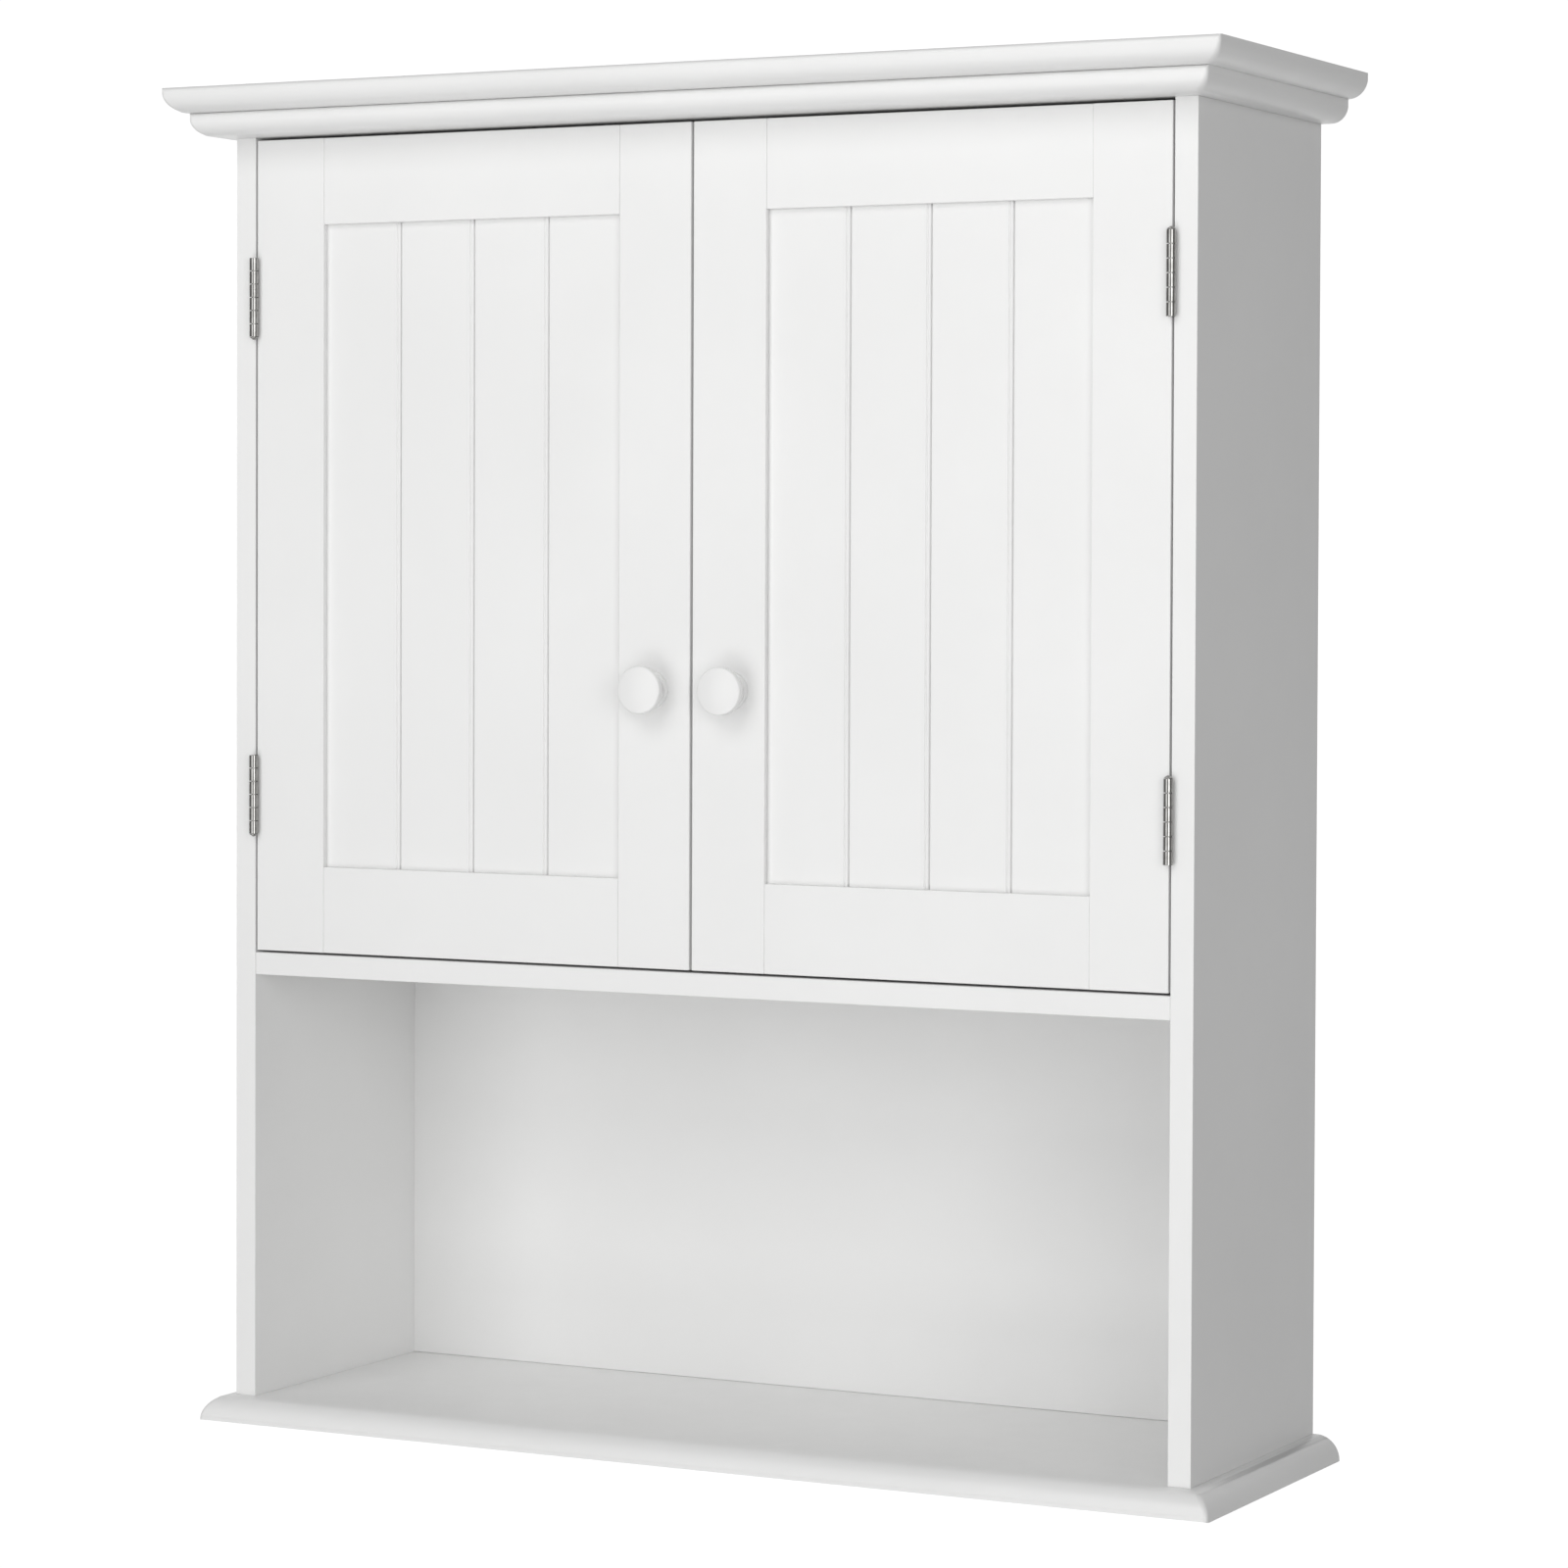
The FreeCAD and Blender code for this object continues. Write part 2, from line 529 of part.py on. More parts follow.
def side_panel(name, side):
    """An upright with its back rebate, hinge mortises and rows of holes."""
    body = new_body(f"{name}_side_panel")
    side_box(pad_box, body, side, INNER_X, OUTER_X, (FRONT_Y, "0"), ("0", "dims.side_height"))
    rebate = f"({INNER_X} + dims.rebate_width)"
    side_box(cut_box, body, side, INNER_X, rebate, (BACK_FACE_Y, "0"), ("0", "dims.side_height"))
    mortise_floor = f"({HINGE_X} + {LEAF_FAR})"
    for middle in ENDS.values():
        low = f"{middle} - dims.hinge_length / 2"
        high = f"{middle} + dims.hinge_length / 2"
        leaf_end = f"{FRONT_Y} + dims.leaf_depth"
        side_box(cut_box, body, side, INNER_X, mortise_floor, (FRONT_Y, low), (leaf_end, high))
        bite = "(dims.leaf_screw_length - dims.leaf_thickness)"
        drill_sideways(body, side, mortise_floor, bite, leaf_screw_places(middle), "dims.leaf_screw_radius")
    first_pins = [(y, "dims.pin_hole_start") for y in PIN_ROWS_Y]
    holes = drill_sideways(body, side, INNER_X, "dims.pin_hole_depth", first_pins, "dims.pin_hole_radius")
    repeat_upwards(body, holes, "dims.pin_hole_pitch", "dims.pin_hole_count")
    bolts = [(y, SHELF_MID_Z) for y in ASSEMBLY_ROWS_Y]
    drill_sideways(body, side, INNER_X, "dims.dowel_short", bolts, "dims.cam_bolt_radius")
    dowels = [(y, SHELF_MID_Z) for y in DOWEL_ROWS_Y] + [(RAIL_MID_Y, z) for z in RAIL_DOWEL_HEIGHTS]
    drill_sideways(body, side, INNER_X, "dims.dowel_short", dowels, "dims.dowel_radius")
    own_screws = [place for place in END_SCREWS if number(place[0]) * side > 0]
    own_dowels = [place for place in END_DOWELS if number(place[0]) * side > 0]
    low_bite = "(dims.screw_length - dims.base_thickness)"
    high_bite = "(dims.screw_length - dims.crown_lower_thickness)"
    drill(body, "XY", "0", low_bite, own_screws, "dims.screw_radius")
    drill(body, "XY", f"dims.side_height - {high_bite}", high_bite, own_screws, "dims.screw_radius")
    dowel_bite = "dims.dowel_long"
    drill(body, "XY", "0", dowel_bite, own_dowels, "dims.dowel_radius")
    drill(body, "XY", f"dims.side_height - {dowel_bite}", dowel_bite, own_dowels, "dims.dowel_radius")
    nails = [(f"{side} * {NAIL_X}", z) for z in nail_heights()]
    nail_bite = "(dims.nail_length - dims.back_thickness)"
    drill(body, "XZ", f"({BACK_FACE_Y} - {nail_bite})", nail_bite, nails, "dims.nail_radius")


def base_board():
    """The bottom board, moulded on its front and both ends."""
    body = moulded_board(
        "base_board", f"({OUTER_X} + dims.base_overhang)", "(dims.body_depth + dims.base_overhang)",
        "(-dims.base_thickness)", "0", "dims.base_round", "upper",
    )
    drill(body, "XY", "-dims.dowel_short", "dims.dowel_short", END_DOWELS, "dims.dowel_radius")
    drill(body, "XY", "-dims.base_thickness", "dims.base_thickness", END_SCREWS, "dims.screw_radius")
    for x, y in END_SCREWS:
        countersink(body, (x, y, "-dims.base_thickness"), AXIS_Z, "dims.screw_head", "dims.screw_radius")


def crown_boards():
    """The two boards of the stepped crown."""
    lower = moulded_board(
        "crown_lower_board", f"({OUTER_X} + dims.crown_side_overhang - dims.crown_step)",
        "(dims.body_depth + dims.crown_front_overhang - dims.crown_step)",
        "dims.side_height", CROWN_STEP_Z, "dims.crown_lower_round", "lower",
    )
    drill(lower, "XY", "dims.side_height", "dims.dowel_short", END_DOWELS, "dims.dowel_radius")
    through = END_SCREWS + CROWN_JOINTS
    drill(lower, "XY", "dims.side_height", "dims.crown_lower_thickness", through, "dims.screw_radius")
    catch_bite = "(dims.catch_screw_length - dims.catch_height)"
    drill(lower, "XY", "dims.side_height", catch_bite, CATCH_SCREWS, "dims.leaf_screw_radius")
    for x, y in END_SCREWS:
        countersink(lower, (x, y, CROWN_STEP_Z), -AXIS_Z, "dims.screw_head", "dims.screw_radius")
    for x, y in CROWN_JOINTS:
        countersink(lower, (x, y, "dims.side_height"), AXIS_Z, "dims.screw_head", "dims.screw_radius")
    top = moulded_board(
        "crown_top_board", f"({OUTER_X} + dims.crown_side_overhang)",
        "(dims.body_depth + dims.crown_front_overhang)",
        CROWN_STEP_Z, CROWN_TOP_Z, "dims.crown_top_round", "lower",
    )
    bite = "(dims.crown_screw_length - dims.crown_lower_thickness)"
    drill(top, "XY", CROWN_STEP_Z, bite, CROWN_JOINTS, "dims.screw_radius")


def middle_shelf():
    """The fixed shelf under the doors, with cam lock housings in its underside."""
    body = new_body("middle_shelf")
    pad_box(body, (f"-{INNER_X}", FRONT_Y, "dims.shelf_height"), (INNER_X, BACK_FACE_Y, SHELF_TOP))
    bolts = [(y, SHELF_MID_Z) for y in ASSEMBLY_ROWS_Y]
    dowels = [(y, SHELF_MID_Z) for y in DOWEL_ROWS_Y]
    bite = "dims.dowel_long"
    for side in SIDES.values():
        drill_sideways(body, side, CAM_X, "dims.cam_inset", bolts, "dims.cam_bolt_radius")
        drill_sideways(body, side, f"{INNER_X} - {bite}", bite, dowels, "dims.dowel_radius")
    cams = [(f"{side} * {CAM_X}", y) for side in SIDES.values() for y in ASSEMBLY_ROWS_Y]
    drill(body, "XY", "dims.shelf_height", "dims.cam_depth", cams, "dims.cam_radius")


def back_panel():
    """The thin back, let into rebates of the side panels."""
    body = new_body("back_panel")
    edge = f"({INNER_X} + dims.rebate_width - dims.back_slack)"
    pad_box(body, (f"-{edge}", BACK_FACE_Y, "0"), (edge, "-dims.back_inset", "dims.side_height"))
    drill(body, "XZ", BACK_FACE_Y, "dims.back_thickness", WALL_SCREWS, "dims.wall_screw_radius")
    nails = [(f"{side} * {NAIL_X}", z) for side in SIDES.values() for z in nail_heights()]
    drill(body, "XZ", BACK_FACE_Y, "dims.back_thickness", nails, "dims.nail_radius")


def hanging_rail():
    """The rail behind the doors that takes the wall screws."""
    body = new_body("hanging_rail")
    rail_front = f"({BACK_FACE_Y} - dims.board)"
    pad_box(body, (f"-{INNER_X}", rail_front, RAIL_LOW_Z), (INNER_X, BACK_FACE_Y, "dims.side_height"))
    drill(body, "XZ", rail_front, "dims.board", WALL_SCREWS, "dims.wall_screw_radius")
    dowels = [(RAIL_MID_Y, z) for z in RAIL_DOWEL_HEIGHTS]
    bite = "dims.dowel_long"
    for side in SIDES.values():
        drill_sideways(body, side, f"{INNER_X} - {bite}", bite, dowels, "dims.dowel_radius")


def adjustable_shelf():
    """The loose shelf that rests on four pins behind the doors."""
    body = new_body("adjustable_shelf")
    end = f"({INNER_X} - dims.shelf_side_play)"
    front = f"({DOOR_BACK_Y} + dims.shelf_front_play)"
    back = f"({BACK_FACE_Y} - dims.shelf_back_play)"
    pad_box(body, (f"-{end}", front, SHELF_UNDER_Z), (end, back, f"({SHELF_UNDER_Z} + dims.board)"))


def stile(door, side, role, near, far, groove_near, groove_far):
    """A door upright with the panel groove along its edge."""
    body = new_body(f"{door}_{role}_stile")
    side_box(pad_box, body, side, near, far, (FRONT_Y, DOOR_LOW_Z), (DOOR_BACK_Y, DOOR_HIGH_Z))
    groove_back = f"({PANEL_FRONT_Y} + dims.panel_thickness)"
    side_box(
        cut_box, body, side, groove_near, groove_far, (PANEL_FRONT_Y, DOOR_LOW_Z), (groove_back, DOOR_HIGH_Z)
    )
    return body


def outer_stile(door, side):
    """The hinged stile, with mortises for the hinge leaves."""
    groove_far = f"({OPENING_OUTER_X} + dims.groove_depth)"
    body = stile(door, side, "outer", OPENING_OUTER_X, DOOR_OUTER_X, OPENING_OUTER_X, groove_far)
    floor = f"({HINGE_X} - {LEAF_FAR})"
    bite = "(dims.leaf_screw_length - dims.leaf_thickness)"
    for middle in ENDS.values():
        low = f"{middle} - dims.hinge_length / 2"
        high = f"{middle} + dims.hinge_length / 2"
        leaf_end = f"{FRONT_Y} + dims.leaf_depth"
        side_box(cut_box, body, side, floor, DOOR_OUTER_X, (FRONT_Y, low), (leaf_end, high))
        places = leaf_screw_places(middle)
        drill_sideways(body, side, f"{floor} - {bite}", bite, places, "dims.leaf_screw_radius")


def inner_stile(door, side):
    """The stile with the knob, bored for the knob screw and the strike plate's screw."""
    groove_near = f"({OPENING_INNER_X} - dims.groove_depth)"
    body = stile(door, side, "inner", DOOR_INNER_X, OPENING_INNER_X, groove_near, OPENING_INNER_X)
    knob = [(f"{side} * {KNOB_X}", "dims.knob_height")]
    drill(body, "XZ", FRONT_Y, "dims.door_thickness", knob, "dims.knob_screw_radius")
    bite = "(dims.leaf_screw_length - dims.strike_thickness)"
    strike = [(f"{side} * dims.catch_x", STRIKE_MID_Z)]
    drill(body, "XZ", f"{DOOR_BACK_Y} - {bite}", bite, strike, "dims.leaf_screw_radius")


def door_rail(door, side, role, low, high, groove_low, groove_high):
    """A cross rail between the stiles, with a tongue at each end and the panel groove along one edge."""
    body = new_body(f"{door}_{role}_rail")
    side_box(pad_box, body, side, OPENING_INNER_X, OPENING_OUTER_X, (FRONT_Y, low), (DOOR_BACK_Y, high))
    tongue_near = f"({OPENING_INNER_X} - dims.groove_depth)"
    tongue_far = f"({OPENING_OUTER_X} + dims.groove_depth)"
    groove_back = f"({PANEL_FRONT_Y} + dims.panel_thickness)"
    side_box(pad_box, body, side, tongue_near, tongue_far, (PANEL_FRONT_Y, low), (groove_back, high))
    side_box(
        cut_box, body, side, tongue_near, tongue_far, (PANEL_FRONT_Y, groove_low), (groove_back, groove_high)
    )


def bead_panel(door, side):
    """The beaded panel, held in the grooves of the door frame."""
    body = new_body(f"{door}_bead_panel")
    near = f"({OPENING_INNER_X} - {PANEL_EDGE})"
    far = f"({OPENING_OUTER_X} + {PANEL_EDGE})"
    low = f"({OPENING_LOW_Z} - {PANEL_EDGE})"
    high = f"({OPENING_HIGH_Z} + {PANEL_EDGE})"
    back = f"({PANEL_FRONT_Y} + dims.panel_thickness)"
    side_box(pad_box, body, side, near, far, (PANEL_FRONT_Y, low), (back, high))
    plank = f"(({OPENING_OUTER_X} - {OPENING_INNER_X}) / dims.plank_count)"
    for seam in range(1, int(number("dims.plank_count"))):
        middle = f"{side} * ({OPENING_INNER_X} + {seam} * {plank})"
        outline = [
            (f"{middle} - dims.bead_width / 2", PANEL_FRONT_Y),
            (f"{middle} + dims.bead_width / 2", PANEL_FRONT_Y),
            (f"{middle} + dims.bead_floor / 2", f"{PANEL_FRONT_Y} + dims.bead_depth"),
            (f"{middle} - dims.bead_floor / 2", f"{PANEL_FRONT_Y} + dims.bead_depth"),
        ]
        cut_profile(body, "XY", outline, low, f"{high} - {low}")


def knob(door, side):
    """A turned knob: a foot, a short neck and a slightly domed head."""
    body = new_body(f"{door}_knob")
    place = (f"{side} * {KNOB_X}", FRONT_Y, "dims.knob_height")
    head_front = "dims.knob_length - dims.knob_dome"
    outline = [
        ("0", "0"),
        ("0", "dims.knob_flange"),
        ("dims.knob_foot", "dims.knob_flange"),
        ("dims.knob_foot + dims.knob_slope", "dims.knob_neck"),
        ("dims.knob_throat", "dims.knob_neck"),
        ("dims.knob_head_back", "dims.knob_radius"),
        (head_front, "dims.knob_radius"),
        ("dims.knob_length", "0"),
    ]
    dome_radius = "((dims.knob_radius ^ 2 + dims.knob_dome ^ 2) / (2 * dims.knob_dome))"
    turned = revolve(body, place, outline, arcs={6: (dome_radius, (0, 0))})
    rims = [
        f"Edge{index}"
        for index, edge in enumerate(turned.Shape.Edges, start=1)
        if not edge.Degenerated
        and isinstance(edge.Curve, Part.Circle)
        and abs(edge.Curve.Radius - number("dims.knob_radius")) < TOO_SMALL
    ]
    rounding = body.newObject("PartDesign::Fillet", f"{body.Name}_rim")
    rounding.Base = (turned, rims)
    rounding.setExpression("Radius", "dims.knob_rim")
    doc.recompute()
    screw = [(place[0], place[2])]
    bite = "dims.knob_screw_bite"
    drill(body, "XZ", f"{FRONT_Y} - {bite}", bite, screw, "dims.knob_screw_radius")


def knob_screw(door, side):
    """The machine screw that holds the knob from behind the stile."""
    body = new_body(f"{door}_knob_screw")
    place = (f"{side} * {KNOB_X}", DOOR_BACK_Y, "dims.knob_height")
    tip = "dims.door_thickness + dims.knob_screw_bite"
    outline = [
        ("-dims.knob_screw_crown", "0"),
        ("-dims.knob_screw_crown", "dims.knob_screw_head"),
        ("0", "dims.knob_screw_head"),
        ("0", "dims.knob_screw_radius"),
        (tip, "dims.knob_screw_radius"),
        (tip, "0"),
    ]
    revolve(body, place, outline)


def hinge_leaf(label, side, middle, outward, bore):
    """One leaf of a butt hinge with every second knuckle of the barrel.

    outward is 1 for the leaf on the side panel and -1 for the leaf on the door. The right hinges
    are the left ones turned over, so the knuckle at the pin's tip is always the side panel's."""
    body = new_body(label)
    first_knuckle = 0 if side * outward < 0 else 1
    near, far = (LEAF_NEAR, LEAF_FAR) if outward > 0 else (LEAF_FAR, LEAF_NEAR)
    plate_near = f"({HINGE_X} + {outward} * {near})"
    plate_far = f"({HINGE_X} + {outward} * {far})"
    low = f"({middle} - dims.hinge_length / 2)"
    high = f"({middle} + dims.hinge_length / 2)"
    plate_front = f"({HINGE_Y} + dims.leaf_clearance)"
    plate_back = f"({FRONT_Y} + dims.leaf_depth)"
    side_box(pad_box, body, side, plate_near, plate_far, (plate_front, low), (plate_back, high))
    tab_front = f"({HINGE_Y} + dims.pin_radius + dims.leaf_gap)"
    for knuckle in range(first_knuckle, int(number("dims.knuckle_count")), 2):
        start = f"({low} + {knuckle} * {KNUCKLE} + dims.knuckle_gap / 2)"
        length = f"({KNUCKLE} - dims.knuckle_gap)"
        end = f"{start} + {length}"
        side_box(pad_box, body, side, plate_near, plate_far, (tab_front, start), (plate_front, end))
        barrel = new_sketch(body, "XY", start)
        draw_circles(barrel, [(f"{side} * {HINGE_X}", HINGE_Y)], "dims.barrel_radius")
        extrude(body, "Pad", barrel, "XY", length)
    drill(body, "XY", low, "dims.hinge_length", [(f"{side} * {HINGE_X}", HINGE_Y)], bore)
    places = leaf_screw_places(middle)
    drill_sideways(body, side, plate_near, "dims.leaf_thickness", places, "dims.leaf_screw_radius")
    mouth = f"{side} * ({HINGE_X} + {outward} * {LEAF_NEAR})"
    direction = AXIS_X * (side * outward)
    for y, z in places:
        countersink(body, (mouth, y, z), direction, "dims.leaf_screw_head", "dims.leaf_screw_radius")


def small_screws(places, direction, length):
    """The small countersunk screws of the hinges, strike plates and catches."""
    sizes = (number(length), number("dims.leaf_screw_radius"), number("dims.leaf_screw_head"))
    return [wood_screw(point(*place), direction, *sizes) for place in places]


def leaf_screws(side, outward):
    """The screws of both hinge leaves on one side, in the side panel or in the door."""
    face = f"{side} * ({HINGE_X} + {outward} * {LEAF_NEAR})"
    places = [(face, y, z) for middle in ENDS.values() for y, z in leaf_screw_places(middle)]
    return small_screws(places, AXIS_X * (side * outward), "dims.leaf_screw_length")


def hinge_pins(side):
    """The two hinge pins of one door, with their coned tips below on the left and above on the right."""
    stem_size = (number("dims.pin_radius"), number("dims.hinge_length"))
    tip_size = [number(f"dims.{word}") for word in ("pin_tip_root", "pin_tip_end", "pin_tip")]
    pins = []
    for middle in ENDS.values():
        root = point(f"{side} * {HINGE_X}", HINGE_Y, f"{middle} + {side} * dims.hinge_length / 2")
        stem = Part.makeCylinder(*stem_size, root, AXIS_Z * -side)
        tip = Part.makeCone(*tip_size, root, AXIS_Z * side)
        pins.append(stem.fuse(tip).removeSplitter())
    return pins


def catch(name, side):
    """A magnetic catch under the crown: its housing and its magnet."""
    housing = new_body(f"{name}_catch_housing")
    housing_low = (CATCH_FRONT_Y, CATCH_LOW_Z)
    housing_high = (CATCH_BACK_Y, "dims.side_height")
    side_box(pad_box, housing, side, CATCH_NEAR, CATCH_FAR, housing_low, housing_high)
    magnet_low = (CATCH_FRONT_Y, MAGNET_LOW_Z)
    magnet_high = (MAGNET_BACK_Y, MAGNET_HIGH_Z)
    side_box(cut_box, housing, side, MAGNET_NEAR, MAGNET_FAR, magnet_low, magnet_high)
    screws = catch_screw_places(side)
    drill(housing, "XY", CATCH_LOW_Z, "dims.catch_height", screws, "dims.leaf_screw_radius")
    for x, y in screws:
        countersink(housing, (x, y, CATCH_LOW_Z), AXIS_Z, "dims.leaf_screw_head", "dims.leaf_screw_radius")
    magnet = new_body(f"{name}_catch_magnet")
    side_box(pad_box, magnet, side, MAGNET_NEAR, MAGNET_FAR, magnet_low, magnet_high)


def strike_plate(door, side):
    """The steel plate on the back of the door that meets the magnet."""
    body = new_body(f"{door}_strike_plate")
    near = "(dims.catch_x - dims.strike_width / 2)"
    far = "(dims.catch_x + dims.strike_width / 2)"
    side_box(pad_box, body, side, near, far, (DOOR_BACK_Y, STRIKE_LOW_Z), (STRIKE_BACK_Y, STRIKE_HIGH_Z))
    x = f"{side} * dims.catch_x"
    drill(body, "XZ", DOOR_BACK_Y, "dims.strike_thickness", [(x, STRIKE_MID_Z)], "dims.leaf_screw_radius")
    countersink(
        body, (x, STRIKE_BACK_Y, STRIKE_MID_Z), -AXIS_Y, "dims.leaf_screw_head", "dims.leaf_screw_radius"
    )


def assembly_screws(places, z, direction, length):
    """Countersunk assembly screws at (x, y) places, all driven along Z."""
    sizes = (number(length), number("dims.screw_radius"), number("dims.screw_head"))
    return [wood_screw(point(x, y, z), direction, *sizes) for x, y in places]


def dowels():
    """Beech dowels between the boards, each a plain pin with eased ends."""
    radius = number("dims.dowel_radius")
    length = number("dims.dowel_short + dims.dowel_long")
    pins = []
    for x, y in END_DOWELS:
        pins.append((point(x, y, "-dims.dowel_short"), AXIS_Z))
        pins.append((point(x, y, "dims.side_height - dims.dowel_long"), AXIS_Z))
    for side in SIDES.values():
        for y, z in [(y, SHELF_MID_Z) for y in DOWEL_ROWS_Y] + [(RAIL_MID_Y, z) for z in RAIL_DOWEL_HEIGHTS]:
            pins.append((point(f"{side} * ({INNER_X} + dims.dowel_short)", y, z), AXIS_X * -side))
    return [Part.makeCylinder(radius, length, place, direction) for place, direction in pins]


def cam_bolts():
    """The bolts that draw the middle shelf to the side panels."""
    radius = number("dims.cam_bolt_radius")
    length = number("dims.dowel_short + dims.cam_inset")
    bolts = []
    for side in SIDES.values():
        for y in ASSEMBLY_ROWS_Y:
            place = point(f"{side} * ({INNER_X} + dims.dowel_short)", y, SHELF_MID_Z)
            bolts.append(Part.makeCylinder(radius, length, place, AXIS_X * -side))
    return bolts


def cam_locks():
    """The round cams in the underside of the middle shelf, open towards their bolts."""
    play = number("dims.cam_play")
    slot = number("dims.cam_slot")
    radius = number("dims.cam_radius") - play
    height = number("dims.cam_depth") - play
    throat = number("dims.cam_bolt_radius") + play
    cams = []
    for side in SIDES.values():
        for y in ASSEMBLY_ROWS_Y:
            centre = point(f"{side} * {CAM_X}", y, "dims.shelf_height")
            cam = Part.makeCylinder(radius, height, centre, AXIS_Z)
            mouth = Part.makeBox(radius + throat, throat * 2, height)
            mouth.translate(FreeCAD.Vector(-throat, -throat, number("dims.board / 2") - throat))
            mouth.rotate(FreeCAD.Vector(), AXIS_Z, 0 if side > 0 else 180)
            mouth.translate(centre)
            cam = cam.cut(mouth)
            for bar in cross_slot(radius, slot, slot, FreeCAD.Placement(centre, FreeCAD.Rotation())):
                cam = cam.cut(bar)
            cams.append(cam)
    return cams


def shelf_pins():
    """Four metal pins with a collar against the side panel."""
    pins = []
    length = number("dims.pin_hole_depth + dims.pin_reach")
    collar_size = (number("dims.pin_collar"), number("dims.pin_collar_height"))
    for side in SIDES.values():
        inwards = AXIS_X * -side
        for y in PIN_ROWS_Y:
            root = point(f"{side} * ({INNER_X} + dims.pin_hole_depth)", y, PIN_HOLE_Z)
            face = point(f"{side} * {INNER_X}", y, PIN_HOLE_Z)
            pin = Part.makeCylinder(number("dims.pin_hole_radius"), length, root, inwards)
            pins.append(pin.fuse(Part.makeCylinder(*collar_size, face, inwards)).removeSplitter())
    return pins


def nails():
    """The small nails that hold the back panel in its rebates."""
    shank_size = (number("dims.nail_radius"), number("dims.nail_length"))
    head_size = (number("dims.nail_head"), number("dims.nail_head_height"))
    pieces = []
    for side in SIDES.values():
        for z in nail_heights():
            place = point(f"{side} * {NAIL_X}", "-dims.back_inset", z)
            shank = Part.makeCylinder(*shank_size, place, -AXIS_Y)
            pieces.append(shank.fuse(Part.makeCylinder(*head_size, place, AXIS_Y)).removeSplitter())
    return pieces


base_board()
crown_boards()
middle_shelf()
back_panel()
hanging_rail()
adjustable_shelf()
for name, side in SIDES.items():
    side_panel(name, side)
    catch(name, side)
    for end, middle in ENDS.items():
        hinge_leaf(f"{end}_{name}_frame_leaf", side, middle, 1, "dims.pin_radius")
        hinge_leaf(f"{end}_{name}_door_leaf", side, middle, -1, "dims.pin_radius + dims.pin_clearance")
    group(f"{name}_frame_hinge_screws", leaf_screws(side, 1))
    group(f"{name}_door_hinge_screws", leaf_screws(side, -1))
    group(f"{name}_hinge_pins", hinge_pins(side))
    outer_stile(name, side)
    inner_stile(name, side)
    door_rail(
        name, side, "top", OPENING_HIGH_Z, DOOR_HIGH_Z,
        OPENING_HIGH_Z, f"({OPENING_HIGH_Z} + dims.groove_depth)",
    )
    door_rail(
        name, side, "bottom", DOOR_LOW_Z, OPENING_LOW_Z,
        f"({OPENING_LOW_Z} - dims.groove_depth)", OPENING_LOW_Z,
    )
    bead_panel(name, side)
    knob(name, side)
    knob_screw(name, side)
    strike_plate(name, side)
    strike_screw = (f"{side} * dims.catch_x", STRIKE_BACK_Y, STRIKE_MID_Z)
    group(f"{name}_strike_screw", small_screws([strike_screw], -AXIS_Y, "dims.leaf_screw_length"))
group("dowels", dowels())
group("shelf_cam_bolts", cam_bolts())
group("shelf_cam_locks", cam_locks())
group("shelf_pins", shelf_pins())
group("back_panel_nails", nails())
group("base_screws", assembly_screws(END_SCREWS, "-dims.base_thickness", AXIS_Z, "dims.screw_length"))
group("crown_screws", assembly_screws(END_SCREWS, CROWN_STEP_Z, -AXIS_Z, "dims.screw_length"))
group(
    "crown_joining_screws",
    assembly_screws(CROWN_JOINTS, "dims.side_height", AXIS_Z, "dims.crown_screw_length"),
)
catch_places = [(x, y, CATCH_LOW_Z) for x, y in CATCH_SCREWS]
group("catch_screws", small_screws(catch_places, AXIS_Z, "dims.catch_screw_length"))

doc.recompute()
for item in doc.Objects:
    if "Invalid" in item.State or "Error" in item.State:
        raise ValueError(f"{item.Label} failed: {item.State}")
os.makedirs("parts", exist_ok=True)
for item in SUB_PARTS:
    if item.Shape.isNull() or not item.Shape.isValid():
        raise ValueError(f"{item.Label} has no valid shape")
    if item.isDerivedFrom("PartDesign::Body") and len(item.Shape.Solids) != 1:
        raise ValueError(f"{item.Label} isn't one solid")
    item.Shape.exportStep(f"parts/{item.Label}.step")
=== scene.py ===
import json
import math

import bmesh
import bpy
from mathutils import Matrix, Vector


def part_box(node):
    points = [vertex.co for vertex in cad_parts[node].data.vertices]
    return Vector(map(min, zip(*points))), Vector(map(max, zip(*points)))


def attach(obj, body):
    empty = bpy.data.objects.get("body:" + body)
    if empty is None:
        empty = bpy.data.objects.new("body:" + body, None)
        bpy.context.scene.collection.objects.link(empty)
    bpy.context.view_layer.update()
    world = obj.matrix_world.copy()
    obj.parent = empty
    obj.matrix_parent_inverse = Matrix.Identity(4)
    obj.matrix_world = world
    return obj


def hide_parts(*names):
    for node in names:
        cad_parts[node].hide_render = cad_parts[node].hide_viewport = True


MM = 0.001
SIDES = ("left", "right")
ENDS = ("upper", "lower")
NOISE_RANGE = (0.3, 0.7)  # where most of a noise texture's values lie

